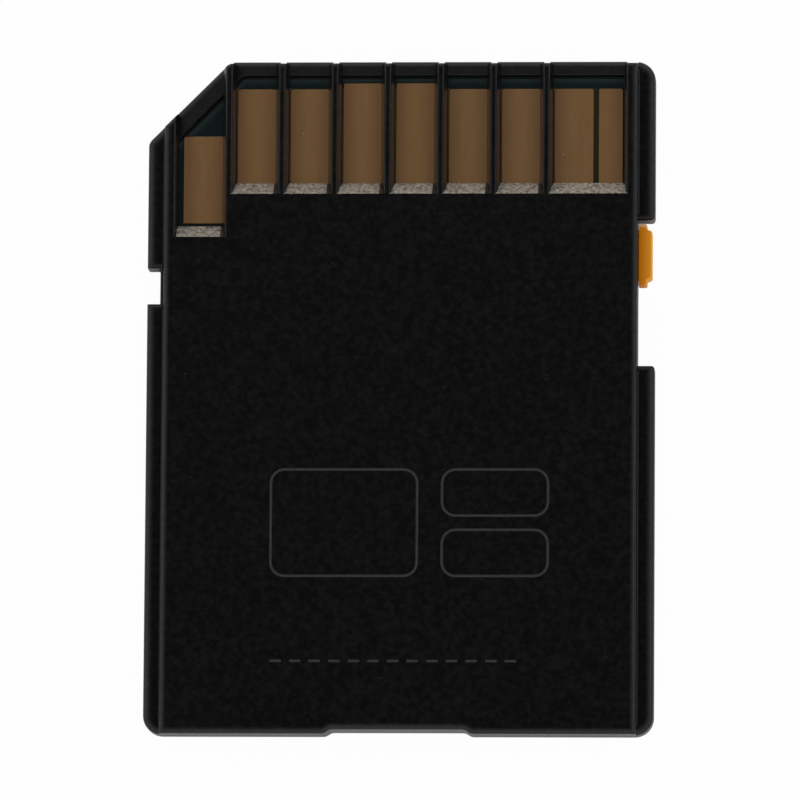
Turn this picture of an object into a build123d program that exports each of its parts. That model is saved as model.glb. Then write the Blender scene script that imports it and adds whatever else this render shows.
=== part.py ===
from build123d import *
import os
from math import radians, sqrt, tan

# Full-size memory card: two welded plastic covers, a circuit board with nine contacts and a lock slider.
# The card lies on its label face. x runs across it, y points to the contact end and z rises out of
# the contact side. The origin is under the middle of the card. Lengths are in millimetres.

# Contact row, across the card
regular_contacts = 8
contact_pitch = 2.5
pad_width = 1.84
narrow_pad_width = 1.14
narrow_pad_gap = 0.25
row_margin_left = 0.39
row_margin_right = 0.18

# Ribs and side frames of the contact windows
rib_top_width = 0.30
rib_foot_width = 0.66
rib_edge_radius = 0.13
rib_shift = 0.04
frame_top_width = 0.54
frame_slope = 0.12
nose_setback = 0.12
front_nose_setback = 0.18
nose_radius = 0.25
nose_relief = 0.09

# Outline
card_length = 32.0
rail_width = 0.81
corner_radius = 0.90
corner_cut = 3.85
corner_cut_radius = 0.45
rail_edge_radius = 0.42
panel_edge_radius = 0.33
rail_foot_radius = 0.09
rear_edge_radius = 0.34
label_edge_radius = 0.15
seam_depth = 0.05
seam_height = 0.06

# Heights, stacked from the label face up
floor_thickness = 0.30
chip_gap = 0.10
chip_thickness = 0.60
board_thickness = 0.35
pad_thickness = 0.05
contact_depth = 0.70
parting_height = 0.70
panel_thickness = 0.35
lip_height = 0.12

# Contacts along the card, measured from the contact end
lip_width = 0.70
cut_lip_width = 0.95
lip_tilt = 12.0
lip_front_radius = 0.38
lip_edge = 0.03
pad_front = 1.34
supply_pad_front = 1.06
pad_end = 5.85
corner_pad_end = 7.76
corner_ramp_gap = 0.14
corner_pad_inset = 1.02
corner_pad_width = 1.89
pad_corner_radius = 0.10
pad_edge = 0.015
ramp_toe_overlap = 0.12
pad_tail_gap = 0.04
ramp_run = 0.60

# Walls and seats
side_wall = 0.30
rear_wall = 1.0
cavity_radius = 0.5
upper_cavity_wall = 0.85
seat_margin = 1.0
rim_width = 0.40
rim_clearance = 0.05
board_clearance = 0.10
board_front_clearance = 0.03

# Lock notch on the left and pull notch at the rear
lock_notch_start = 9.88
lock_notch_length = 1.70
lock_notch_depth = 0.63
lock_mouth_radius = 0.05
lock_floor_radius = 0.20
lock_ledge_radius = 0.13
notch_edge_radius = 0.26
pull_notch_width = 6.3
pull_notch_depth = 0.20
pull_notch_slant = 0.30
pull_notch_radius = 0.40

# Write-protect notch and slider on the right
slider_notch_start = 7.60
slider_notch_length = 6.93
slider_mouth_radius = 0.19
slider_length = 2.90
slider_end_gap = 0.19
slider_height_gap = 0.12
slider_clearance = 0.04
slider_inset = 0.37
grip_length = 2.22
grip_slant = 0.08
grip_inset = 0.13
grip_corner_radius = 0.14
slider_corner_radius = 0.10
slider_edge_radius = 0.08
neck_length = 2.40
neck_height = 0.40
flange_thickness = 0.35
flange_gap = 0.15
stop_gap = 0.10

# Label recess on the label face
label_depth = 0.08
label_margin = 1.2
label_front = 2.2
label_radius = 0.6

# Packages on the label side of the board
flash_width = 13.0
flash_length = 11.5
controller_size = 6.5
controller_start = 7.6
controller_offset = -3.4
package_chamfer = 0.06
pin_mark_radius = 0.3
pin_mark_depth = 0.05
pin_mark_inset = 0.8
passive_count = 4
passive_length = 1.0
passive_width = 0.50
capacitor_height = 0.50
resistor_height = 0.35
passive_cap_length = 0.25
passive_cap_proud = 0.02
passive_spacing = 1.4
capacitor_column = 2.2
resistor_column = 4.6

# Places across the card that follow from the row of contacts
row_width = row_margin_left + pad_width + (regular_contacts - 1) * contact_pitch
row_width += narrow_pad_gap + narrow_pad_width + row_margin_right
window_half = row_width / 2
panel_half = window_half + frame_top_width
half_width = panel_half + rail_width
first_pad = -window_half + row_margin_left + pad_width / 2
first_rib = first_pad + contact_pitch / 2 - rib_shift
rib_centres = [first_rib + i * contact_pitch for i in range(regular_contacts - 1)]
field_half = window_half - frame_slope
cavity_half = panel_half - side_wall

# Places along the card
front = card_length / 2
rear = -card_length / 2
cut_line = front + half_width - corner_cut
ramp_low = front - pad_end
ramp_top = ramp_low - ramp_run
corner_ramp_low = front - corner_pad_end - corner_ramp_gap
corner_ramp_top = corner_ramp_low - ramp_run
upper_cavity_front = corner_ramp_top - seat_margin

# Heights
floor_top = floor_thickness
board_bottom = floor_top + chip_gap + chip_thickness
board_top = board_bottom + board_thickness
contact_level = board_top + pad_thickness
back_face = contact_level + contact_depth
panel_bottom = back_face - panel_thickness
lip_level = contact_level + lip_height

# Slider travel and the slot that guides it
slider_travel = slider_notch_length - slider_length - 2 * slider_end_gap
slider_middle = front - slider_notch_start - slider_end_gap - slider_length / 2
slot_front = slider_middle + neck_length / 2 + stop_gap
slot_rear = slider_middle - neck_length / 2 - slider_travel - stop_gap
slot_half_height = neck_height / 2 + slider_clearance
flange_outer = cavity_half - slider_clearance
flange_inner = flange_outer - flange_thickness
pocket_inner = flange_inner - board_clearance

# Cutters run past the faces that they cut by this much
over = 1.0


def outline(side=0.0, end=0.0, tail=0.0, radius=corner_radius, cut=None):
    """Plan of the card, moved in at its sides, contact end, rear and cut corner (as the end if not given)."""
    left = side - half_width
    right = half_width - side
    top = front - end
    bottom = rear + tail
    line = cut_line - (end if cut is None else cut) * sqrt(2)
    points = [(left, bottom), (right, bottom), (right, top), (top - line, top), (left, left + line)]
    shape = make_face(Polyline(*points, close=True))
    shape = fillet([v for v in shape.vertices() if v.Y - v.X < line - over], radius)
    cut_ends = [v for v in shape.vertices() if abs(v.Y - v.X - line) < 1e-6]
    return fillet(cut_ends, corner_cut_radius)


def span(left, right, bottom, top):
    """Plan rectangle between two x and two y places."""
    return Pos((left + right) / 2, (bottom + top) / 2) * Rectangle(right - left, top - bottom)


def rise(plan, bottom, top):
    """Solid that stands on a plan, between two heights."""
    return extrude(Pos(0, 0, bottom) * plan, amount=top - bottom, dir=(0, 0, 1))


def run_along(section, start, end):
    """Solid of a cross-section drawn in x and z, run along the card between two y places."""
    return extrude(Plane.XZ.offset(-start) * section, amount=end - start, dir=(0, 1, 0))


def run_across(profile, start, end):
    """Solid of a side profile drawn in y and z, run across the card between two x places."""
    return extrude(Plane.YZ.offset(start) * profile, amount=end - start, dir=(1, 0, 0))


def side_notch(start, length, depth, mouth_radius, side):
    """Plan of a notch in one long edge (side is -1 or 1), with a rounded mouth."""
    edge = side * half_width
    floor = edge - side * depth
    outside = edge + side * over
    notch_front = front - start
    notch_rear = notch_front - length
    mouth = span(min(edge, outside), max(edge, outside), notch_rear - over, notch_front + over)
    slot = span(min(floor, outside), max(floor, outside), notch_rear, notch_front)
    shape = mouth + slot
    corners = [v for v in shape.vertices() if abs(v.X - edge) < 1e-6]
    corners = [v for v in corners if notch_rear - over / 2 < v.Y < notch_front + over / 2]
    return fillet(corners, mouth_radius)


def notch_flare(start, length, left, right):
    """Cutter between two x places that rounds the upper edge of both ends of a notch."""
    notch_front = front - start
    notch_rear = notch_front - length
    above = span(notch_rear - over, notch_front + over, contact_level, contact_level + over)
    slot = span(notch_rear, notch_front, parting_height, contact_level + over)
    shape = above + slot
    lips = [v for v in shape.vertices() if abs(v.Y - contact_level) < 1e-6]
    lips = [v for v in lips if notch_rear - over / 2 < v.X < notch_front + over / 2]
    return run_across(fillet(lips, notch_edge_radius), left, right)


def beyond(side, end, tail):
    """Plan of all that lies around the card's outline, moved in by these amounts."""
    around = span(-half_width - over, half_width + over, rear - over, front + over)
    return around - outline(side, end, tail)


lock_notch = side_notch(lock_notch_start, lock_notch_length, lock_notch_depth, lock_mouth_radius, -1)
lock_floor = [v for v in lock_notch.vertices() if abs(v.X + half_width - lock_notch_depth) < 1e-6]
lock_notch = fillet(lock_floor, lock_floor_radius)
slider_notch = side_notch(slider_notch_start, slider_notch_length, rail_width, slider_mouth_radius, 1)

pull_half = pull_notch_width / 2
pull_mouth = pull_half + pull_notch_slant
pull_notch = make_face(Polyline((-pull_mouth, rear), (-pull_half, rear + pull_notch_depth),
                                (pull_half, rear + pull_notch_depth), (pull_mouth, rear), close=True))
pull_notch += span(-pull_mouth - over, pull_mouth + over, rear - over, rear)
pull_corners = [v for v in pull_notch.vertices() if v.Y > rear - 1e-6 and abs(v.X) < pull_mouth + over / 2]
pull_notch = fillet(pull_corners, pull_notch_radius)

cavity_plan = outline(rail_width + side_wall, lip_width, rear_wall, cavity_radius, cut_lip_width)
seam = rise(beyond(seam_depth, seam_depth, seam_depth),
            parting_height - seam_height / 2, parting_height + seam_height / 2)
rim_plan = outline(rail_width + side_wall + rim_clearance, lip_width + rim_clearance,
                   rear_wall + rim_clearance, cavity_radius, cut_lip_width + rim_clearance)
rim_hole = outline(rail_width + side_wall + rim_clearance + rim_width,
                   lip_width + rim_clearance + rim_width,
                   rear_wall + rim_clearance + rim_width, cavity_radius,
                   cut_lip_width + rim_clearance + rim_width)
slider_pocket = span(pocket_inner, cavity_half, slot_rear - stop_gap, slot_front + stop_gap)
pocket_wall = span(pocket_inner - rim_width, cavity_half, slot_rear - stop_gap - rim_width,
                   slot_front + stop_gap + rim_width)
slider_slot = span(cavity_half - over / 10, panel_half + over / 10, slot_rear, slot_front)


def panel():
    """Thick middle of the back cover, rounded at its sides and rear; its ramps reach over the contacts."""
    def side_profile(low, top):
        return make_face(Polyline((rear, parting_height), (rear, back_face), (top, back_face),
                                  (low, contact_level), (low - ramp_toe_overlap, contact_level),
                                  (low - ramp_toe_overlap, parting_height), close=True))

    blank = run_across(side_profile(ramp_low, ramp_top), first_rib, panel_half)
    blank += run_across(side_profile(corner_ramp_low, corner_ramp_top), -panel_half, first_rib)
    blank -= rise(pull_notch, parting_height - over, back_face + over)
    top_edges = [e for e in blank.edges() if e.center().Z > back_face - 1e-6]
    blank = fillet([e for e in top_edges if e.center().Y < rear + rear_edge_radius], rear_edge_radius)
    section = span(-panel_half, panel_half, parting_height, back_face)
    corners = [v for v in section.vertices() if v.Y > back_face - 1e-6]
    section = fillet(corners, panel_edge_radius)
    return blank & run_along(section, rear, front) & rise(outline(), parting_height, back_face)


def rib(centre, start):
    """Drafted rib between two windows, from inside the panel to the contact end."""
    foot = rib_foot_width / 2
    top = rib_top_width / 2
    section = make_face(Polyline((-foot, contact_level), (foot, contact_level),
                                 (top, back_face), (-top, back_face), close=True))
    section = fillet([v for v in section.vertices() if v.Y > back_face - 1e-6], rib_edge_radius)
    return run_along(Pos(centre, 0) * section, start, front)


def frame(side, start):
    """Side frame between the outermost window and the guide rail; side is -1 or 1."""
    section = make_face(Polyline(
        (side * field_half, contact_level), (side * window_half, back_face),
        (side * panel_half, back_face), (side * panel_half, contact_level), close=True))
    top = [v for v in section.vertices() if v.Y > back_face - 1e-6]
    section = fillet([v for v in top if abs(v.X) > window_half + 1e-6], panel_edge_radius)
    inner = [v for v in section.vertices() if abs(abs(v.X) - window_half) < 1e-6]
    section = fillet(inner, rib_edge_radius)
    return run_along(section, start, front)


def rail_foot(side):
    """Hollow fillet where the panel and a frame stand on the guide rail; side is -1 or 1."""
    start, length = (slider_notch_start, slider_notch_length)
    if side < 0:
        start, length = (lock_notch_start, lock_notch_length)
    wall = side * panel_half
    inner = wall - side * side_wall / 2
    outer = wall + side * rail_foot_radius
    outside = wall + side * (rail_width + over)
    crest = contact_level + rail_foot_radius
    section = span(min(inner, outer), max(inner, outer), contact_level - side_wall / 2, crest)
    section -= Pos(outer, crest) * Circle(rail_foot_radius)
    gap = span(min(wall, outside), max(wall, outside),
               front - start - length - notch_edge_radius, front - start + notch_edge_radius)
    foot = run_along(section, rear, front) - rise(gap, parting_height, back_face)
    return foot & rise(outline(0, rail_edge_radius, rail_edge_radius), parting_height, back_face)


def lip_block(edge, width):
    """Block behind an edge at this y place, with a lip that slopes down and rounds over to the edge."""
    edge_level = lip_level - width * tan(radians(lip_tilt))
    profile = make_face(Polyline((rear, parting_height), (edge, parting_height), (edge, edge_level),
                                 (edge - width, lip_level), (rear, lip_level), close=True))
    nose = [v for v in profile.vertices() if v.X > edge - 1e-6 and v.Y > parting_height + 1e-6]
    return run_across(fillet(nose, lip_front_radius), -card_length, card_length)


def back_cover():
    """Contact side: guide rails, panel, front lip, and the ribs and frames of the contact windows."""
    rails = rise(outline(), parting_height, contact_level)
    rails = fillet(rails.faces().sort_by(Axis.Z)[-1].edges(), rail_edge_radius)
    rails -= rise(lock_notch, parting_height - over, contact_level + over)
    rails -= rise(slider_notch, parting_height - over, contact_level + over)
    rails -= notch_flare(lock_notch_start, lock_notch_length, -half_width - over, -panel_half)
    rails -= notch_flare(slider_notch_start, slider_notch_length, panel_half, half_width + over)
    ledge = span(lock_notch_depth - half_width, side_wall / 2 - panel_half, parting_height, contact_level)
    ledge_edge = [v for v in ledge.vertices() if v.X < -panel_half and v.Y > parting_height + 1e-6]
    rails += run_along(fillet(ledge_edge, lock_ledge_radius),
                       front - lock_notch_start - lock_notch_length - notch_edge_radius,
                       front - lock_notch_start + notch_edge_radius)

    lip_plan = outline() & span(-panel_half, panel_half, corner_ramp_low, front)
    lip = rise(lip_plan, parting_height, lip_level) & lip_block(front, lip_width)
    lip &= Rot(0, 0, 45) * lip_block(cut_line / sqrt(2), cut_lip_width)

    field = span(first_rib, field_half, ramp_low - ramp_toe_overlap, front)
    field += span(-field_half, first_rib, corner_ramp_low - ramp_toe_overlap, front)
    opening = cavity_plan & field
    windows = rise(opening, parting_height - over, back_face)
    lip_bevel = Pos(0, 0, lip_level - lip_edge) * opening
    windows += extrude(lip_bevel, amount=2 * lip_edge, dir=(0, 0, 1), taper=-45)
    cover = (rails + lip) - windows + panel()

    noses = rise(outline(nose_setback, front_nose_setback, nose_setback, cut=nose_setback),
                 contact_level, back_face)
    noses = fillet(noses.faces().sort_by(Axis.Z)[-1].edges(), nose_radius)
    overlap = panel_thickness
    bars = frame(-1, corner_ramp_top - overlap) + frame(1, ramp_top - overlap)
    relief = span(-panel_half, -window_half, corner_ramp_low, front + over)
    relief += span(window_half, panel_half, ramp_low, front + over)
    for i, centre in enumerate(rib_centres):
        start = corner_ramp_top if i == 0 else ramp_top
        bars += rib(centre, start - overlap)
        relief += span(centre - rib_top_width / 2, centre + rib_top_width / 2, ramp_low, front + over)
    cover += bars & noses
    cover += rail_foot(-1) + rail_foot(1)
    cover -= rise(relief & beyond(0, nose_relief, 0), parting_height - over, back_face + over)

    cover -= rise(cavity_plan, parting_height - over, board_top)
    upper = span(-panel_half + upper_cavity_wall, panel_half - upper_cavity_wall,
                 rear + rear_wall, upper_cavity_front)
    cover -= rise(fillet(upper.vertices(), cavity_radius), board_top - over, panel_bottom)
    cover -= rise(slider_slot, parting_height - over, parting_height + slot_half_height)
    return cover - rise(pull_notch, -over, back_face + over) - seam


def front_cover():
    """Label side: floor, outer wall and the rim that carries the board and locates the back cover."""
    cover = rise(outline(), 0, parting_height)
    cover = fillet(cover.faces().sort_by(Axis.Z)[0].edges(), label_edge_radius)
    cover -= rise(lock_notch, -over, parting_height + over)
    cover -= rise(slider_notch, -over, parting_height + over)
    cover += rise(rim_plan, parting_height - chip_gap, board_bottom)
    cover -= rise(rim_hole, floor_top, board_bottom + over)
    cover += rise(pocket_wall & rim_plan, floor_top, board_bottom)
    cover -= rise(slider_pocket, floor_top, board_bottom + over)
    cover -= rise(slider_slot, parting_height - slot_half_height, parting_height + over)
    cover -= rise(outline(label_margin, label_front, label_margin, label_radius), -over, label_depth)
    return cover - rise(pull_notch, -over, parting_height + over) - seam


def write_protect_slider():
    """Finger tab with a neck through the side wall and a flange behind it."""
    wall = panel_half + slider_clearance
    face = half_width - slider_inset
    tip = half_width - grip_inset
    half = slider_length / 2
    grip = grip_length / 2
    plan = make_face(Polyline(
        (wall, slider_middle - half), (face, slider_middle - half),
        (face, slider_middle - grip - grip_slant), (tip, slider_middle - grip),
        (tip, slider_middle + grip), (face, slider_middle + grip + grip_slant),
        (face, slider_middle + half), (wall, slider_middle + half), close=True))
    plan = fillet([v for v in plan.vertices() if v.X > tip - 1e-6], grip_corner_radius)
    plan = fillet([v for v in plan.vertices() if abs(v.X - face) < 1e-6], slider_corner_radius)
    tab = rise(plan, slider_height_gap, contact_level - slider_height_gap)
    outer = [e for e in tab.edges() if e.center().X > wall + slider_edge_radius]
    tab = fillet([e for e in outer if e.bounding_box().size.Z < slider_edge_radius], slider_edge_radius)
    neck_rear = slider_middle - neck_length / 2
    neck_front = slider_middle + neck_length / 2
    neck = rise(span(flange_inner, wall, neck_rear, neck_front),
                parting_height - neck_height / 2, parting_height + neck_height / 2)
    flange = rise(span(flange_inner, flange_outer, neck_rear, neck_front),
                  floor_top + slider_clearance, board_top - flange_gap)
    return tab + neck + flange


def circuit_board():
    """Board that fills the covers, notched beside the slider."""
    plan = outline(rail_width + side_wall + board_clearance, lip_width + board_front_clearance,
                   rear_wall + board_clearance, cavity_radius, cut_lip_width + board_front_clearance)
    plan -= span(pocket_inner, half_width, slot_rear - stop_gap, slot_front + stop_gap)
    return rise(plan, board_bottom, board_top)


def contact_pad(left, right, start, end):
    """Gold contact between two x places, given by its distances from the contact end."""
    plan = span(left, right, front - end, front - start)
    plan = fillet(plan.vertices().sort_by(Axis.Y)[-2:], pad_corner_radius)
    pad = rise(plan, board_top, contact_level)
    return chamfer(pad.faces().sort_by(Axis.Z)[-1].edges(), pad_edge)


def contact_pads():
    """The nine contacts by number; 9 stands first in the row, at the cut corner, and 8 last."""
    tail = ramp_toe_overlap - pad_tail_gap
    pads = {}
    for column in range(regular_contacts):
        centre = first_pad + column * contact_pitch
        left = centre - pad_width / 2
        right = centre + pad_width / 2
        if column == 0:
            left = right - corner_pad_width
            start = front - (cut_line - corner_pad_inset * sqrt(2) + left)
            pads[regular_contacts + 1] = contact_pad(left, right, start, corner_pad_end)
        else:
            start = supply_pad_front if column in (3, 4) else pad_front
            pads[column] = contact_pad(left, right, start, pad_end + tail)
    narrow_left = right + narrow_pad_gap
    narrow_right = narrow_left + narrow_pad_width
    pads[regular_contacts] = contact_pad(narrow_left, narrow_right, pad_front, pad_end + tail)
    return pads


def package(x, y, width, length):
    """Moulded package under the board with chamfered edges and a first-terminal dimple."""
    body = rise(span(x - width / 2, x + width / 2, y - length / 2, y + length / 2),
                board_bottom - chip_thickness, board_bottom)
    body = chamfer(body.faces().sort_by(Axis.Z)[0].edges(), package_chamfer)
    mark = Pos(x - width / 2 + pin_mark_inset, y + length / 2 - pin_mark_inset) * Circle(pin_mark_radius)
    return body - rise(mark, 0, board_bottom - chip_thickness + pin_mark_depth)


def passive(x, y, height):
    """Chip capacitor or resistor under the board: a block with two end caps."""
    inner = passive_width / 2 - passive_cap_proud
    body = rise(span(x - passive_length / 2, x + passive_length / 2, y - inner, y + inner),
                board_bottom - height + passive_cap_proud, board_bottom)
    for side in (-1, 1):
        cap = x + side * (passive_length - passive_cap_length) / 2
        half = passive_cap_length / 2
        body += rise(span(cap - half, cap + half, y - passive_width / 2, y + passive_width / 2),
                     board_bottom - height, board_bottom)
    return body


nodes = {
    "back_cover": back_cover(),
    "front_cover": front_cover(),
    "write_protect_slider": write_protect_slider(),
    "circuit_board": circuit_board(),
}
for number, pad in sorted(contact_pads().items()):
    nodes[f"contact_pad_{number}"] = pad

controller_y = front - controller_start - controller_size / 2
flash_front = front - controller_start - controller_size
flash_rear = rear + rear_wall + rim_clearance + rim_width
nodes["memory_controller"] = package(controller_offset, controller_y, controller_size, controller_size)
nodes["flash_memory"] = package(0, (flash_front + flash_rear) / 2, flash_width, flash_length)
for i in range(passive_count):
    place = controller_y + (i - (passive_count - 1) / 2) * passive_spacing
    nodes[f"capacitor_{i + 1}"] = passive(capacitor_column, place, capacitor_height)
    nodes[f"resistor_{i + 1}"] = passive(resistor_column, place, resistor_height)

os.makedirs("parts", exist_ok=True)
for name, solid in nodes.items():
    export_step(solid, f"parts/{name}.step")
    print(name, len(solid.solids()), round(solid.volume, 4))
print("card", round(2 * half_width, 3), card_length, round(back_face, 3), "travel", round(slider_travel, 3))
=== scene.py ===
# %% [markdown]
# # A memory card, dressed and lit
# The card comes in as finished solids: two covers, a circuit board, nine contacts, a slider and the
# pieces inside. This lesson gives each of them its real finish, adds the fine lines that a laser leaves
# on the back, and sets up the floor, the light and the camera. Blender never moves the solids: it only
# dresses them.

# %% Load the card
from math import cos, radians, sin, sqrt

import bpy
from mathutils import Matrix, Vector


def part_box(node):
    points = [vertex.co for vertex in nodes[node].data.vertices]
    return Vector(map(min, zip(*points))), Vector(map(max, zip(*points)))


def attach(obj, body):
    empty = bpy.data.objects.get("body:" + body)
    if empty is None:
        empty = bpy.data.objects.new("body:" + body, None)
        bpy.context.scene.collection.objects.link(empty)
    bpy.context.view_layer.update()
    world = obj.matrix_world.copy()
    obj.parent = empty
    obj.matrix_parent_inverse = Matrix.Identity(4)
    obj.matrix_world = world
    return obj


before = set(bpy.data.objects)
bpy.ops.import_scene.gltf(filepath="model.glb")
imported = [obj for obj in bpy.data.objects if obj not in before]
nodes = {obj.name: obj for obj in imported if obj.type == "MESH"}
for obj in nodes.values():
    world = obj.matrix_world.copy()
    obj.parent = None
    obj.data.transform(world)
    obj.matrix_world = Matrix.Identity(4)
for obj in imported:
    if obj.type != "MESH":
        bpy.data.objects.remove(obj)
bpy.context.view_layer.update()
MM = 0.001

# %% [markdown]
# ## Tools for the finishes
# Colours are picked as sRGB hex values, the way a colour picker shows them, and the shader wants linear
# light, so one function converts them. A second function adds a node to a material: it takes the node's
# settings and the sockets that feed it, so that each material below reads as a short list of what makes
# it up. A Math node's sockets go by number, and so do those of a Mix node, which are named here. A
# third starts a material with its constants, such as the IOR, on the shader's own sockets, and a fourth
# gives it to the pieces. Painted pictures could hold the patterns, but patterns made of nodes need no
# unwrapping and stay sharp close up. They use Object coordinates, which are metres, so a pattern's
# scale is one over its real feature size.

# %% Colour and node helpers
FACTOR, VALUE_A, VALUE_B, COLOUR_A, COLOUR_B = 0, 2, 3, 6, 7
MIXED_VALUE, MIXED_COLOUR = 0, 2


def linear(hex_colour):
    """An sRGB hex colour such as 'C89A5E' as linear red, green, blue and alpha, by the sRGB curve."""
    channels = [int(hex_colour[i:i + 2], 16) / 255 for i in (0, 2, 4)]
    return [c / 12.92 if c <= 0.04045 else ((c + 0.055) / 1.055) ** 2.4 for c in channels] + [1.0]


def add_node(tree, kind, settings=None, links=None):
    """Adds a node; settings set its sockets or properties by name, and links feed its sockets."""
    node = tree.nodes.new(kind)
    for name, value in (settings or {}).items():
        if isinstance(name, int) or name in node.inputs:
            node.inputs[name].default_value = value
        else:
            setattr(node, name, value)
    for name, source in (links or {}).items():
        tree.links.new(source, node.inputs[name])
    return node


def start_material(name, settings):
    """A new node material with its node tree and its shader, whose sockets take the settings."""
    material = bpy.data.materials.new(name)
    material.use_nodes = True
    shader = material.node_tree.nodes["Principled BSDF"]
    for socket, value in settings.items():
        shader.inputs[socket].default_value = value
    return material, material.node_tree, shader


def dress(names, material):
    """Gives the material to every slot of the named nodes."""
    for name in names:
        for slot in nodes[name].material_slots:
            slot.material = material
    print(material.name, "on", ", ".join(names))


print("a grey of 808080 is", round(linear("808080")[0], 3), "in linear light")

# %% [markdown]
# ## Where the ribs stand
# Three of the finishes change beside the ribs that part the contact windows. The ribs belong to a
# cover's moulding and have no object of their own, but each stands halfway between two contacts, so
# their places come from the contacts' boxes. Each rib could have a few nodes of its own. They are
# evenly spaced, though, so one Ping-Pong step folds the way across the card into the distance to the
# nearest rib and serves them all. The distance is made to grow past the last one.

# %% Places of the ribs
RIB_STEPS = 6              # from the rib between contacts 9 and 1 to the one between 6 and 7
PAST_GAIN = 4.0            # how fast the distance grows past the last rib


def rib_between(left_pad, right_pad):
    """The x place halfway between two neighbouring contacts, where a rib stands."""
    return (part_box(f"contact_pad_{left_pad}")[1].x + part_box(f"contact_pad_{right_pad}")[0].x) / 2


first_rib = rib_between(9, 1)
last_rib = rib_between(6, 7)
pitch = (last_rib - first_rib) / RIB_STEPS
row_end = last_rib + pitch / 2


def distance_to_rib(tree, place, shift=0.0):
    """A node with the distance across the card to the nearest rib, with all ribs moved by a shift."""
    moved = add_node(tree, "ShaderNodeMath", {"operation": "SUBTRACT", 1: shift}, {0: place.outputs["X"]})
    start = add_node(tree, "ShaderNodeMath", {"operation": "SUBTRACT", 1: first_rib}, {0: moved.outputs[0]})
    row = add_node(tree, "ShaderNodeMath", {"operation": "PINGPONG", 1: pitch / 2}, {0: start.outputs[0]})
    past = add_node(tree, "ShaderNodeMath", {"operation": "SUBTRACT", 1: row_end}, {0: moved.outputs[0]})
    past = add_node(tree, "ShaderNodeMath", {"operation": "MULTIPLY", 1: PAST_GAIN}, {0: past.outputs[0]})
    return add_node(tree, "ShaderNodeMath", {"operation": "MAXIMUM"},
                    {0: row.outputs[0], 1: past.outputs[0]})


print("contact pitch", round(pitch / MM, 3), "mm")

# %% [markdown]
# ## Black moulded polycarbonate
# Both covers are injection moulded from black polycarbonate. The mould was spark eroded, which leaves a
# fine matt grain: the eye sees a deep black with a soft sheen and thin bright lines where rounded edges
# catch the light. The grain also breaks up reflections, so the shader's specular level is less than a
# third of plain plastic's. Displacement could raise the grain, but it is too fine for any mesh, so
# noise textures stand for it. One noise gives the grain, a wider one drifts between two blacks, and a
# few paler grains of filler lie in the surface.

# %% Black tones
GRAIN = 0.10 * MM          # real grain is near 0.03 mm, drawn coarser so that it shows
MOTTLE = 0.28 * MM
MOTTLE_LOW = 0.38
MOTTLE_HIGH = 0.8
SPECK_SPACING = 1.2 * MM
SPECK_RADIUS = 0.04 * MM
OCTAVES = 3.0
POLYCARBONATE_IOR = 1.585
MOULDED_SPECULAR = 0.14

moulded = {"IOR": POLYCARBONATE_IOR, "Specular IOR Level": MOULDED_SPECULAR}
black, tree, shader = start_material("black_polycarbonate_spark_eroded", moulded)
coords = add_node(tree, "ShaderNodeTexCoord")
position = coords.outputs["Object"]
grain = add_node(tree, "ShaderNodeTexNoise", {"Scale": 1 / GRAIN, "Detail": OCTAVES}, {"Vector": position})
mottle = add_node(tree, "ShaderNodeTexNoise", {"Scale": 1 / MOTTLE, "Detail": OCTAVES}, {"Vector": position})
patches = add_node(tree, "ShaderNodeMapRange", {"From Min": MOTTLE_LOW, "From Max": MOTTLE_HIGH},
                   {"Value": mottle.outputs["Fac"]})
tone = add_node(tree, "ShaderNodeMix",
                {"data_type": "RGBA", COLOUR_A: linear("050506"), COLOUR_B: linear("151416")},
                {FACTOR: patches.outputs["Result"]})
cells = add_node(tree, "ShaderNodeTexVoronoi", {"Scale": 1 / SPECK_SPACING}, {"Vector": position})
speck = add_node(tree, "ShaderNodeMath", {"operation": "LESS_THAN", 1: SPECK_RADIUS / SPECK_SPACING},
                 {0: cells.outputs["Distance"]})
tone = add_node(tree, "ShaderNodeMix", {"data_type": "RGBA", COLOUR_B: linear("262628")},
                {FACTOR: speck.outputs[0], COLOUR_A: tone.outputs[MIXED_COLOUR]})
print("black grain of", round(GRAIN / MM, 2), "mm, mottle of", round(MOTTLE / MM, 2), "mm")

# %% [markdown]
# ## Coarse ramps
# The ramps behind the contact windows were eroded much more coarsely. They belong to the same moulding
# as the black back, and their coarse grain is real, but their pale grey tone is painted reflection of the
# bright surround, which their forward slopes mirror. Their faces could be given a material of their own,
# but the solids stay as they came, so the finish finds the ramps by their slope and their place along the
# card. The painted reflection and the coarse relief stop short of the ribs, on one side of each.

# %% Ramp finish
RAMP_FRONT = 10.35 * MM
RAMP_REAR = 7.4 * MM
RAMP_SLOPE = 0.72          # how far the ramp's normal leans forward
SLOPE_SPREAD = 0.08
RAMP_STOP = 0.42 * MM      # the coarse relief and the painted reflection end this far to the left of a rib's middle
RAMP_GRAIN = 0.16 * MM
RAMP_OCTAVES = 5.0
RAMP_FINENESS = 0.75       # how much of the finer octaves is kept
SPECKLE_LOW = 0.36
SPECKLE_HIGH = 0.64

normal = add_node(tree, "ShaderNodeSeparateXYZ", links={"Vector": coords.outputs["Normal"]})
place = add_node(tree, "ShaderNodeSeparateXYZ", links={"Vector": position})
sloping = add_node(tree, "ShaderNodeMath", {"operation": "COMPARE", 1: RAMP_SLOPE, 2: SLOPE_SPREAD},
                   {0: normal.outputs["Y"]})
band = add_node(tree, "ShaderNodeMath", {"operation": "COMPARE", 1: (RAMP_FRONT + RAMP_REAR) / 2,
                                         2: (RAMP_FRONT - RAMP_REAR) / 2}, {0: place.outputs["Y"]})
clear = add_node(tree, "ShaderNodeMath", {"operation": "GREATER_THAN", 1: RAMP_STOP / 2},
                 {0: distance_to_rib(tree, place, -RAMP_STOP / 2).outputs[0]})
ramp = add_node(tree, "ShaderNodeMath", {"operation": "MULTIPLY"},
                {0: sloping.outputs[0], 1: band.outputs[0]})
ramp = add_node(tree, "ShaderNodeMath", {"operation": "MULTIPLY"},
                {0: ramp.outputs[0], 1: clear.outputs[0]})

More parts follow.
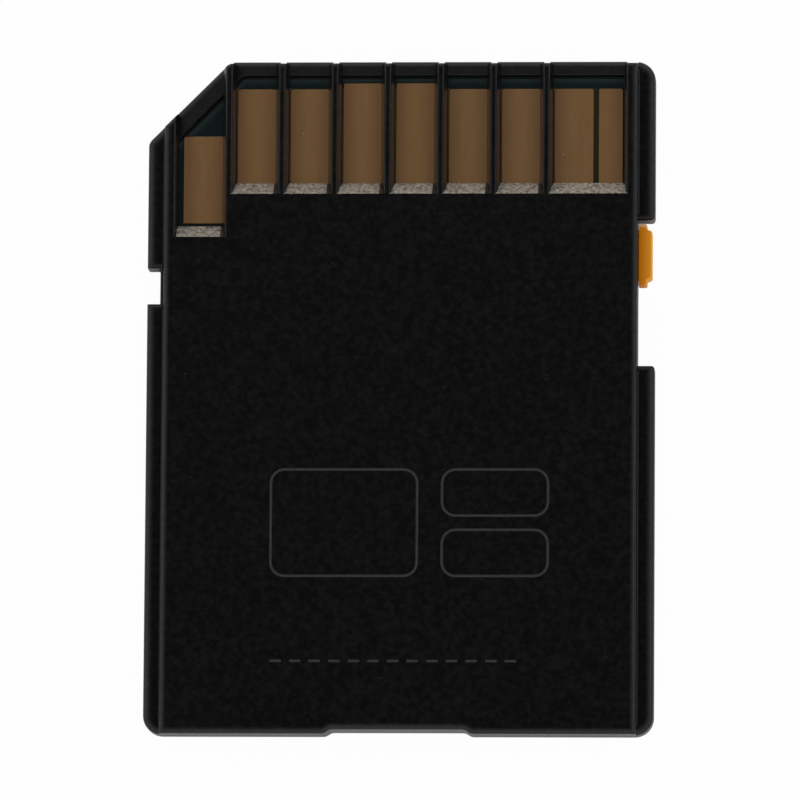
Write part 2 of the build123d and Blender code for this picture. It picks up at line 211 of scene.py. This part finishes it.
coarse = add_node(tree, "ShaderNodeTexNoise",
                  {"Scale": 1 / RAMP_GRAIN, "Detail": RAMP_OCTAVES, "Roughness": RAMP_FINENESS},
                  {"Vector": position})
speckle = add_node(tree, "ShaderNodeMapRange", {"From Min": SPECKLE_LOW, "From Max": SPECKLE_HIGH},
                   {"Value": coarse.outputs["Fac"]})
# Painted reflection: the pale grey stands in for the bright surround mirrored by the forward slopes.
painted_ramp_reflection = add_node(tree, "ShaderNodeMix",
                {"data_type": "RGBA", COLOUR_A: linear("3C3A37"), COLOUR_B: linear("ABA498")},
                {FACTOR: speckle.outputs["Result"]})
print("ramps from", round(RAMP_REAR / MM, 2), "to", round(RAMP_FRONT / MM, 2), "mm along the card")

# %% [markdown]
# ## Two finishes on one moulding
# The ramp factor is one on a ramp and nought elsewhere. It chooses between the black tone and the
# painted reflection, and between the two reliefs. Two materials could do this as well, but they would
# need a slot for each face, and one material leaves the covers as they came.

# %% Black covers
SATIN = 0.24
SATIN_SPREAD = 0.1
GRAIN_STRENGTH = 0.35
GRAIN_DEPTH = 0.012 * MM

colour = add_node(tree, "ShaderNodeMix", {"data_type": "RGBA"},
                  {FACTOR: ramp.outputs[0], COLOUR_A: tone.outputs[MIXED_COLOUR],
                   COLOUR_B: painted_ramp_reflection.outputs[MIXED_COLOUR]})
rough = add_node(tree, "ShaderNodeMath", {"operation": "MULTIPLY_ADD", 1: SATIN_SPREAD, 2: SATIN},
                 {0: grain.outputs["Fac"]})
relief = add_node(tree, "ShaderNodeMix", {"data_type": "FLOAT"},
                  {FACTOR: ramp.outputs[0], VALUE_A: grain.outputs["Fac"], VALUE_B: coarse.outputs["Fac"]})
bump = add_node(tree, "ShaderNodeBump", {"Strength": GRAIN_STRENGTH, "Distance": GRAIN_DEPTH},
                {"Height": relief.outputs[MIXED_VALUE]})
tree.links.new(colour.outputs[MIXED_COLOUR], shader.inputs["Base Color"])
tree.links.new(rough.outputs[0], shader.inputs["Roughness"])
tree.links.new(bump.outputs["Normal"], shader.inputs["Normal"])
dress(["back_cover", "front_cover"], black)

# %% [markdown]
# ## Gold contacts
# The contacts are copper pads plated with nickel and a thin hard gold. Plating follows the faint grain
# of the copper foil, so the pads are a soft mirror, slightly uneven in tone. Beside each rib the plating
# is painted darker, as painted shade: the rib's wall hides part of the bright surround from the mirror.
# The side frame past the last contact is given the same painted shade. A few tiny bright nodules stand in
# the plating. Each contact could have a shaded picture of its own, but the shade follows the ribs, so one
# material finds it by the distance to them.

# %% Plating tones
CONTACT_COUNT = 9
FOIL_GRAIN = 0.25 * MM
SHADED_WITHIN = 0.36 * MM      # both are distances from the middle of a rib
UNSHADED_FROM = 1.15 * MM
NODULE_SPACING = 1.5 * MM
NODULE_RADIUS = 0.045 * MM

frame_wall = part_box("contact_pad_8")[1].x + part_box("contact_pad_7")[0].x - last_rib

gold, tree, shader = start_material("hard_gold_plating", {"Metallic": 1.0})
position = add_node(tree, "ShaderNodeTexCoord").outputs["Object"]
place = add_node(tree, "ShaderNodeSeparateXYZ", links={"Vector": position})
to_frame = add_node(tree, "ShaderNodeMath", {"operation": "SUBTRACT", 0: frame_wall},
                    {1: place.outputs["X"]})
to_wall = add_node(tree, "ShaderNodeMath", {"operation": "MINIMUM"},
                   {0: distance_to_rib(tree, place).outputs[0], 1: to_frame.outputs[0]})
painted_rib_shade = add_node(tree, "ShaderNodeMapRange", {"interpolation_type": "SMOOTHSTEP", "From Min": SHADED_WITHIN,
                                             "From Max": UNSHADED_FROM}, {"Value": to_wall.outputs[0]})
foil = add_node(tree, "ShaderNodeTexNoise", {"Scale": 1 / FOIL_GRAIN, "Detail": OCTAVES},
                {"Vector": position})
tone = add_node(tree, "ShaderNodeMix",
                {"data_type": "RGBA", COLOUR_A: linear("CA9B6A"), COLOUR_B: linear("D2A370")},
                {FACTOR: foil.outputs["Fac"]})
# Painted shade: the darker tone beside the ribs and beside the side frame.
tone = add_node(tree, "ShaderNodeMix", {"data_type": "RGBA", COLOUR_A: linear("BB8F65")},
                {FACTOR: painted_rib_shade.outputs["Result"], COLOUR_B: tone.outputs[MIXED_COLOUR]})
cells = add_node(tree, "ShaderNodeTexVoronoi", {"Scale": 1 / NODULE_SPACING}, {"Vector": position})
nodule = add_node(tree, "ShaderNodeMath", {"operation": "LESS_THAN", 1: NODULE_RADIUS / NODULE_SPACING},
                  {0: cells.outputs["Distance"]})
tone = add_node(tree, "ShaderNodeMix", {"data_type": "RGBA", COLOUR_B: linear("EBC79B")},
                {FACTOR: nodule.outputs[0], COLOUR_A: tone.outputs[MIXED_COLOUR]})
print("wall beside the last contact at", round(frame_wall / MM, 2), "mm")

# %% [markdown]
# ## Wiping marks
# A contact rubs along its spring each time the card goes in, and fine marks stay along the card. An
# anisotropic shader could stand for them, but it gives an even brushed look. The marks are uneven, so a
# noise stretched along the card gives them, in the roughness and in a faint bump.

# %% Plating sheen
WIPE_SPACING = 0.09 * MM
WIPE_STRETCH = 0.05        # the marks are twenty times as long as they are wide
WIPE_OCTAVES = 2.0
WIPE_STRENGTH = 0.15
WIPE_DEPTH = 0.002 * MM
GOLD_SMOOTH = 0.28
GOLD_ROUGH = 0.34

stretch = add_node(tree, "ShaderNodeMapping", {"Scale": (1.0, WIPE_STRETCH, 1.0)}, {"Vector": position})
wipes = add_node(tree, "ShaderNodeTexNoise", {"Scale": 1 / WIPE_SPACING, "Detail": WIPE_OCTAVES},
                 {"Vector": stretch.outputs["Vector"]})
rough = add_node(tree, "ShaderNodeMapRange", {"To Min": GOLD_SMOOTH, "To Max": GOLD_ROUGH},
                 {"Value": wipes.outputs["Fac"]})
bump = add_node(tree, "ShaderNodeBump", {"Strength": WIPE_STRENGTH, "Distance": WIPE_DEPTH},
                {"Height": wipes.outputs["Fac"]})
tree.links.new(tone.outputs[MIXED_COLOUR], shader.inputs["Base Color"])
tree.links.new(rough.outputs["Result"], shader.inputs["Roughness"])
tree.links.new(bump.outputs["Normal"], shader.inputs["Normal"])
dress([f"contact_pad_{n}" for n in range(1, CONTACT_COUNT + 1)], gold)

# %% [markdown]
# ## Solder mask
# The board is glass epoxy under a dark green solder mask, a glossy lacquer that flows over the copper.
# Along the front edge and the cut corner, the mask is paler in a strip that fades darker towards the
# contacts. At the very edge, beside the lip, a dark band is painted shadow of the lip. The copper could
# be modelled under a clear coat, but only its tone shows. Both are found by their distance from the
# board's own front edge and from the line of its cut corner, which lies at 45 degrees.

# %% Mask tones
FLOW = 0.6 * MM
FLOW_OCTAVES = 2.0
PALE_STRIP_WIDTH = 0.42 * MM   # both are distances from the board's edge
LIP_SHADOW_WIDTH = 0.13 * MM
EPOXY_IOR = 1.55
LACQUER_SPECULAR = 0.26
LACQUER_ROUGHNESS = 0.28

corners = [v.co for v in nodes["circuit_board"].data.vertices]
board_front = max(corner.y for corner in corners)
board_cut = max(corner.y - corner.x for corner in corners)

lacquer = {"IOR": EPOXY_IOR, "Specular IOR Level": LACQUER_SPECULAR, "Roughness": LACQUER_ROUGHNESS}
mask, tree, shader = start_material("dark_green_solder_mask", lacquer)
position = add_node(tree, "ShaderNodeTexCoord").outputs["Object"]
place = add_node(tree, "ShaderNodeSeparateXYZ", links={"Vector": position})
across = add_node(tree, "ShaderNodeMath", {"operation": "SUBTRACT"},
                  {0: place.outputs["Y"], 1: place.outputs["X"]})
to_cut = add_node(tree, "ShaderNodeMath", {"operation": "SUBTRACT", 0: board_cut}, {1: across.outputs[0]})
to_cut = add_node(tree, "ShaderNodeMath", {"operation": "DIVIDE", 1: sqrt(2)}, {0: to_cut.outputs[0]})
to_front = add_node(tree, "ShaderNodeMath", {"operation": "SUBTRACT", 0: board_front},
                    {1: place.outputs["Y"]})
inset = add_node(tree, "ShaderNodeMath", {"operation": "MINIMUM"},
                 {0: to_cut.outputs[0], 1: to_front.outputs[0]})
strip = add_node(tree, "ShaderNodeMapRange", {"From Min": PALE_STRIP_WIDTH, "From Max": LIP_SHADOW_WIDTH},
                 {"Value": inset.outputs[0]})
painted_lip_shadow = add_node(tree, "ShaderNodeMath", {"operation": "LESS_THAN", 1: LIP_SHADOW_WIDTH}, {0: inset.outputs[0]})
flow = add_node(tree, "ShaderNodeTexNoise", {"Scale": 1 / FLOW, "Detail": FLOW_OCTAVES},
                {"Vector": position})
tone = add_node(tree, "ShaderNodeMix",
                {"data_type": "RGBA", COLOUR_A: linear("061414"), COLOUR_B: linear("0A1A1A")},
                {FACTOR: flow.outputs["Fac"]})
# A paler strip along the front edge and the cut corner, fading darker towards the contacts.
tone = add_node(tree, "ShaderNodeMix", {"data_type": "RGBA", COLOUR_B: linear("233030")},
                {FACTOR: strip.outputs["Result"], COLOUR_A: tone.outputs[MIXED_COLOUR]})
# Painted shadow: a dark band at the board's edge, where the lip shades it.
tone = add_node(tree, "ShaderNodeMix", {"data_type": "RGBA", COLOUR_B: linear("050909")},
                {FACTOR: painted_lip_shadow.outputs[0], COLOUR_A: tone.outputs[MIXED_COLOUR]})
print("board's front edge at", round(board_front / MM, 2), "mm")

# %% [markdown]
# ## Bare laminate
# Between the contacts of the row the mask is left open, as is usual beside plated contacts, and the
# brown laminate shows. The opening could be cut as a shape, but a lacquer is too thin for its edge to
# be seen, so the opening is a change of tone. It is as wide as the gap between two contacts and ends
# just in front of them, so it takes its place from the contacts' boxes and from the ribs. The last two
# contacts share a window. The mask is thin in the narrow gap between them, and looks olive there.

# %% Solder mask on the board
MASK_OPENING = 0.05 * MM   # bare laminate in front of a contact's end
FLOW_STRENGTH = 0.2
FLOW_DEPTH = 0.01 * MM

contact_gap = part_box("contact_pad_2")[0].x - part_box("contact_pad_1")[1].x
contact_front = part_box("contact_pad_1")[1].y
narrow_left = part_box("contact_pad_7")[1].x
narrow_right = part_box("contact_pad_8")[0].x

beside = add_node(tree, "ShaderNodeMath", {"operation": "LESS_THAN", 1: contact_gap / 2},
                  {0: distance_to_rib(tree, place).outputs[0]})
in_row = add_node(tree, "ShaderNodeMath", {"operation": "GREATER_THAN", 1: first_rib},
                  {0: place.outputs["X"]})
along = add_node(tree, "ShaderNodeMath", {"operation": "LESS_THAN", 1: contact_front + MASK_OPENING},
                 {0: place.outputs["Y"]})
bare = add_node(tree, "ShaderNodeMath", {"operation": "MULTIPLY"},
                {0: beside.outputs[0], 1: in_row.outputs[0]})
bare = add_node(tree, "ShaderNodeMath", {"operation": "MULTIPLY"},
                {0: bare.outputs[0], 1: along.outputs[0]})
tone = add_node(tree, "ShaderNodeMix", {"data_type": "RGBA", COLOUR_B: linear("6A563A")},
                {FACTOR: bare.outputs[0], COLOUR_A: tone.outputs[MIXED_COLOUR]})
narrow = add_node(tree, "ShaderNodeMath", {"operation": "COMPARE", 1: (narrow_left + narrow_right) / 2,
                                           2: (narrow_right - narrow_left) / 2}, {0: place.outputs["X"]})
narrow = add_node(tree, "ShaderNodeMath", {"operation": "MULTIPLY"},
                  {0: narrow.outputs[0], 1: along.outputs[0]})
tone = add_node(tree, "ShaderNodeMix", {"data_type": "RGBA", COLOUR_B: linear("242006")},
                {FACTOR: narrow.outputs[0], COLOUR_A: tone.outputs[MIXED_COLOUR]})
bump = add_node(tree, "ShaderNodeBump", {"Strength": FLOW_STRENGTH, "Distance": FLOW_DEPTH},
                {"Height": flow.outputs["Fac"]})
tree.links.new(tone.outputs[MIXED_COLOUR], shader.inputs["Base Color"])
tree.links.new(bump.outputs["Normal"], shader.inputs["Normal"])
dress(["circuit_board"], mask)

# %% [markdown]
# ## Orange slider
# The slider is a small acetal moulding, coloured through, with a waxy satin skin. Its tone is painted
# paler and yellower towards its thin outer edge, away from the cover's wall. This is painted light and
# shade, for the light that acetal lets through at a thin edge and for the shade that the wall casts. The
# upper edge of its front end carries a painted highlight. Subsurface scattering could give the glow, but
# it is slow and grainy on so small a piece, so the tone follows the place on the slider instead.

# %% Orange acetal
SKIN = 0.2 * MM
SKIN_STRENGTH = 0.15
SKIN_DEPTH = 0.006 * MM
LIT_EDGE_WIDTH = 0.65 * MM
TIP_HIGHLIGHT_LENGTH = 0.2 * MM
ACETAL_IOR = 1.48
WAXY_SPECULAR = 0.107
WAXY_ROUGHNESS = 0.38

slider_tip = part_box("write_protect_slider")[1].x
slider_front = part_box("write_protect_slider")[1].y

waxy = {"IOR": ACETAL_IOR, "Specular IOR Level": WAXY_SPECULAR, "Roughness": WAXY_ROUGHNESS}
orange, tree, shader = start_material("orange_acetal_moulding", waxy)
coords = add_node(tree, "ShaderNodeTexCoord")
position = coords.outputs["Object"]
place = add_node(tree, "ShaderNodeSeparateXYZ", links={"Vector": position})
normal = add_node(tree, "ShaderNodeSeparateXYZ", links={"Vector": coords.outputs["Normal"]})
skin = add_node(tree, "ShaderNodeTexNoise", {"Scale": 1 / SKIN, "Detail": OCTAVES}, {"Vector": position})
tone = add_node(tree, "ShaderNodeMix",
                {"data_type": "RGBA", COLOUR_A: linear("D07400"), COLOUR_B: linear("DC7E00")},
                {FACTOR: skin.outputs["Fac"]})
# Painted light and shade: paler and yellower towards the outer edge, away from the wall.
painted_edge_light = add_node(tree, "ShaderNodeMapRange", {"From Min": slider_tip - LIT_EDGE_WIDTH, "From Max": slider_tip},
                {"Value": place.outputs["X"]})
tone = add_node(tree, "ShaderNodeMix", {"data_type": "RGBA", COLOUR_B: linear("EC9E2C")},
                {FACTOR: painted_edge_light.outputs["Result"], COLOUR_A: tone.outputs[MIXED_COLOUR]})
# Painted highlight on the upper edge of the slider's front end.
end = add_node(tree, "ShaderNodeMapRange", {"From Min": slider_front - TIP_HIGHLIGHT_LENGTH, "From Max": slider_front},
               {"Value": place.outputs["Y"]})
end = add_node(tree, "ShaderNodeMath", {"operation": "MULTIPLY", "use_clamp": True},
               {0: end.outputs["Result"], 1: normal.outputs["Z"]})
tone = add_node(tree, "ShaderNodeMix", {"data_type": "RGBA", COLOUR_B: linear("F0CD9C")},
                {FACTOR: end.outputs[0], COLOUR_A: tone.outputs[MIXED_COLOUR]})
bump = add_node(tree, "ShaderNodeBump", {"Strength": SKIN_STRENGTH, "Distance": SKIN_DEPTH},
                {"Height": skin.outputs["Fac"]})
tree.links.new(tone.outputs[MIXED_COLOUR], shader.inputs["Base Color"])
tree.links.new(bump.outputs["Normal"], shader.inputs["Normal"])
dress(["write_protect_slider"], orange)

# %% [markdown]
# ## The pieces inside
# The packages are black moulded epoxy, dull with a fine filler grain. The capacitors are fired ceramic
# and the resistors a dark glaze. The covers hide them until the card is taken apart. Each finish could
# have a section of its own, but all three are one pattern, a noise between two tones, so one loop makes
# them.

# %% Packages and passives
FILLER = 0.08 * MM
GLAZE_OCTAVES = 2.0
CERAMIC_IOR = 1.65
GLAZE_IOR = 1.52
DULL_ROUGHNESS = 0.6
FIRED_ROUGHNESS = 0.45
PASSIVE_COUNT = 4

packages = ["flash_memory", "memory_controller"]
capacitors = [f"capacitor_{n}" for n in range(1, PASSIVE_COUNT + 1)]
resistors = [f"resistor_{n}" for n in range(1, PASSIVE_COUNT + 1)]
inside_finishes = {        # nodes, dark and light tone, octaves, IOR, roughness
    "moulded_black_epoxy": (packages, "18181A", "232325", OCTAVES, EPOXY_IOR, DULL_ROUGHNESS),
    "capacitor_ceramic": (capacitors, "8A6A48", "A07C56", GLAZE_OCTAVES, CERAMIC_IOR, FIRED_ROUGHNESS),
    "resistor_ceramic": (resistors, "141416", "222226", GLAZE_OCTAVES, GLAZE_IOR, FIRED_ROUGHNESS),
}

for name, (pieces, dark, light, octaves, ior, roughness) in inside_finishes.items():
    finish, tree, shader = start_material(name, {"IOR": ior, "Roughness": roughness})
    position = add_node(tree, "ShaderNodeTexCoord").outputs["Object"]
    filler = add_node(tree, "ShaderNodeTexNoise", {"Scale": 1 / FILLER, "Detail": octaves},
                      {"Vector": position})
    tone = add_node(tree, "ShaderNodeMix",
                    {"data_type": "RGBA", COLOUR_A: linear(dark), COLOUR_B: linear(light)},
                    {FACTOR: filler.outputs["Fac"]})
    tree.links.new(tone.outputs[MIXED_COLOUR], shader.inputs["Base Color"])
    dress(pieces, finish)

# %% [markdown]
# ## Laser lines on the back
# Cards of this kind are marked by a laser, which foams the black plastic into a fine, pale, slightly
# raised line. Here the lines frame three empty fields, with a row of dashes under them. A texture could
# draw them, but a modelled line keeps its clean edge in every view. The finish comes first: the same
# plastic as the covers, paler and rougher, with an uneven burn.

# %% Foamed line finish
BURN = 0.12 * MM
FOAM_ROUGHNESS = 0.7

foam, tree, shader = start_material("laser_foamed_polycarbonate", {**moulded, "Roughness": FOAM_ROUGHNESS})
position = add_node(tree, "ShaderNodeTexCoord").outputs["Object"]
burn = add_node(tree, "ShaderNodeTexNoise", {"Scale": 1 / BURN, "Detail": OCTAVES}, {"Vector": position})
tone = add_node(tree, "ShaderNodeMix",
                {"data_type": "RGBA", COLOUR_A: linear("262523"), COLOUR_B: linear("383632")},
                {FACTOR: burn.outputs["Fac"]})
tree.links.new(tone.outputs[MIXED_COLOUR], shader.inputs["Base Color"])
print(foam.name, "is ready")

# %% [markdown]
# ## Shaping a line
# Each line starts as a plane on the back face, whose corners are rounded in edit mode, and a Solidify
# modifier gives it its height. A bevelled curve could be a line too, but it would have to be made a
# mesh in the end, and a plane is one from the start.

# %% Tools for raised lines
LINE_HEIGHT = 0.008 * MM
CORNER_STEPS = 6

back_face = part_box("back_cover")[1].z


def rounded_plane(name, left, right, bottom, top, radius):
    """A flat plane on the back face with rounded corners, left in edit mode with its face selected."""
    bpy.ops.object.select_all(action="DESELECT")
    bpy.ops.mesh.primitive_plane_add(size=1.0, location=((left + right) / 2, (bottom + top) / 2, back_face))
    plane = bpy.context.object
    plane.name = name
    plane.scale = (right - left, top - bottom, 1.0)
    bpy.ops.object.transform_apply(location=True, rotation=True, scale=True)
    bpy.ops.object.mode_set(mode="EDIT")
    bpy.ops.mesh.select_all(action="SELECT")
    bpy.ops.mesh.bevel(offset=radius, segments=CORNER_STEPS, affect="VERTICES")
    bpy.ops.mesh.select_all(action="SELECT")
    return plane


def raise_line(piece, modifiers):
    """Gives a flat line its height, after any other modifiers, and lets it ride on the card."""
    bpy.ops.object.mode_set(mode="OBJECT")
    for kind, settings in modifiers + [("SOLIDIFY", {"thickness": LINE_HEIGHT, "offset": 1.0})]:
        bpy.ops.object.modifier_add(type=kind)
        modifier = piece.modifiers[-1]
        for name, value in settings.items():
            setattr(modifier, name, value)
        bpy.ops.object.modifier_apply(modifier=modifier.name)
    piece.data.materials.append(foam)
    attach(piece, "card")
    print(piece.name, len(piece.data.polygons), "faces")


print("lines stand on the back face at", round(back_face / MM, 2), "mm")

# %% [markdown]
# ## Fields
# A field is such a plane, inset by the width of the line and opened in the middle. A smaller plane
# could be cut out of a larger one, but an inset keeps the line equally wide all round, also at the
# corners.

# %% Framed fields
LINE_WIDTH = 0.12 * MM
FIELD_RADIUS = 0.7 * MM
FIELD_SIDES = {            # left, right, bottom, top
    "laser_field_wide": (-6.05 * MM, 0.95 * MM, -8.65 * MM, -3.50 * MM),
    "laser_field_upper": (2.00 * MM, 7.10 * MM, -5.80 * MM, -3.50 * MM),
    "laser_field_lower": (2.00 * MM, 7.10 * MM, -8.65 * MM, -6.35 * MM),
}

for name, (left, right, bottom, top) in FIELD_SIDES.items():
    field = rounded_plane(name, left, right, bottom, top, FIELD_RADIUS)
    bpy.ops.mesh.inset(thickness=LINE_WIDTH)
    bpy.ops.mesh.delete(type="FACE")
    raise_line(field, [])

# %% [markdown]
# ## Dashes
# The dashes are all alike, so one is modelled and an Array modifier repeats it along the row. A loop
# could place as many copies, but the row is one mark and stays one piece.

# %% Row of dashes
DASH_COUNT = 13
DASH_LENGTH = 0.55 * MM
DASH_PITCH = 0.92 * MM
DASH_RADIUS = 0.048 * MM
DASHES_LEFT = -6.0 * MM
DASHES_LEVEL = -12.6 * MM

dashes = rounded_plane("laser_dashes", DASHES_LEFT, DASHES_LEFT + DASH_LENGTH,
                       DASHES_LEVEL - LINE_WIDTH / 2, DASHES_LEVEL + LINE_WIDTH / 2, DASH_RADIUS)
repeat = {"count": DASH_COUNT, "use_relative_offset": False, "use_constant_offset": True,
          "constant_offset_displace": (DASH_PITCH, 0.0, 0.0)}
raise_line(dashes, [("ARRAY", repeat)])

# %% [markdown]
# ## Floor
# The card lies on a white sheet of paper. Lit as paper is, the sheet would turn grey beside the card,
# and a stronger light would bleach the card as well. So a Light Path node shows the camera an almost
# plain white, and glossy faces mirror a small share of that white. The rest of the mix is paper as it
# is lit, which keeps a trace of the card's shadow.

# %% White sheet
FLOOR_SIZE = 1.2
PAPER_ROUGHNESS = 0.9
PLAIN_WHITE = 1.0          # strength of the light that shows as white
FLOOR_GLOW = 0.97          # share of the sheet that the camera sees as plain white
MIRRORED_GLOW = 0.15       # the same share for what glossy faces mirror, which is mostly the lit sheet

paper, tree, shader = start_material("white_paper_sheet",
                                     {"Base Color": linear("F4F4F4"), "Roughness": PAPER_ROUGHNESS})
light_path = add_node(tree, "ShaderNodeLightPath")
direct = add_node(tree, "ShaderNodeMath", {"operation": "MULTIPLY", 1: FLOOR_GLOW},
                  {0: light_path.outputs["Is Camera Ray"]})
mirrored = add_node(tree, "ShaderNodeMath", {"operation": "MAXIMUM"},
                    {0: light_path.outputs["Is Glossy Ray"], 1: light_path.outputs["Is Transmission Ray"]})
mirrored = add_node(tree, "ShaderNodeMath", {"operation": "MULTIPLY", 1: MIRRORED_GLOW},
                    {0: mirrored.outputs[0]})
share = add_node(tree, "ShaderNodeMath", {"operation": "MAXIMUM"},
                 {0: direct.outputs[0], 1: mirrored.outputs[0]})
glow = add_node(tree, "ShaderNodeEmission", {"Strength": PLAIN_WHITE})
both = add_node(tree, "ShaderNodeMixShader",
                links={0: share.outputs[0], 1: shader.outputs["BSDF"], 2: glow.outputs[0]})
tree.links.new(both.outputs[0], tree.nodes["Material Output"].inputs["Surface"])

bpy.ops.object.select_all(action="DESELECT")
bpy.ops.mesh.primitive_plane_add(size=FLOOR_SIZE)
floor = bpy.context.object
floor.name = "floor"
floor.data.materials.append(paper)
print("floor", FLOOR_SIZE, "m wide")

# %% [markdown]
# ## Light
# A bright surround lights the card, as a light tent does. Its light fades smoothly towards the top,
# where the camera looks in: a flat black face mirrors the dim top and stays black, while every rounded
# edge finds the bright sides. Lamps could light the card too, but each would leave a glint of its own,
# so one world shader does it, from the angle between a direction and straight up.

# %% Bright surround
SURROUND_LIGHT = 2.2
OPENING_CURVE = 1.5
HORIZON = radians(90)

world = bpy.data.worlds.new("bright_surround")
bpy.context.scene.world = world
world.use_nodes = True
tree = world.node_tree
background = tree.nodes["Background"]
direction = add_node(tree, "ShaderNodeTexCoord").outputs["Generated"]
height = add_node(tree, "ShaderNodeSeparateXYZ", links={"Vector": direction})
tilt = add_node(tree, "ShaderNodeMath", {"operation": "ARCCOSINE"}, {0: height.outputs["Z"]})
from_top = add_node(tree, "ShaderNodeMapRange", {"From Max": HORIZON}, {"Value": tilt.outputs[0]})
curve = add_node(tree, "ShaderNodeMath", {"operation": "POWER", 1: OPENING_CURVE},
                 {0: from_top.outputs["Result"]})
fall = add_node(tree, "ShaderNodeMath", {"operation": "MULTIPLY", 1: SURROUND_LIGHT}, {0: curve.outputs[0]})
tree.links.new(fall.outputs[0], background.inputs["Strength"])
background.inputs["Color"].default_value = linear("FFFFFF")
print("surround's strength at the horizon", SURROUND_LIGHT)

# %% [markdown]
# ## Camera
# The photograph was taken from almost straight above, leaning a little to the right and to the rear of
# the card, with a long lens. The camera could be turned by hand until it fits, but two angles are
# easier to read and to correct. They give the camera's own axes, and the lens follows from the size of
# the card in the picture.

# %% Camera at the photograph's angle
VIEW_DISTANCE = 0.434
LEAN_RIGHT = radians(3.1)
LEAN_REAR = radians(7.5)
PIXELS_PER_MM = 21.165
IMAGE_SIZE = 800
SENSOR_WIDTH = 36.0
SHIFT_RIGHT = 1.3          # pixels from the image's middle to the card's middle
SHIFT_DOWN = 0.15

back = Vector((sin(LEAN_RIGHT), -sin(LEAN_REAR) * cos(LEAN_RIGHT), cos(LEAN_REAR) * cos(LEAN_RIGHT)))
right = (Vector((1, 0, 0)) - back * back.x).normalized()
up = back.cross(right)
camera = bpy.data.objects.new("camera", bpy.data.cameras.new("camera"))
bpy.context.collection.objects.link(camera)
camera.matrix_world = Matrix((right, up, back)).transposed().to_4x4()
offset = (-right * SHIFT_RIGHT + up * SHIFT_DOWN) / PIXELS_PER_MM * MM
camera.location = back * VIEW_DISTANCE + offset
camera.data.sensor_width = SENSOR_WIDTH
camera.data.lens = PIXELS_PER_MM / MM * VIEW_DISTANCE / IMAGE_SIZE * SENSOR_WIDTH
bpy.context.scene.camera = camera
bpy.context.scene.view_settings.view_transform = "Standard"
print("camera at", [round(side, 4) for side in camera.location], "lens", round(camera.data.lens, 1))
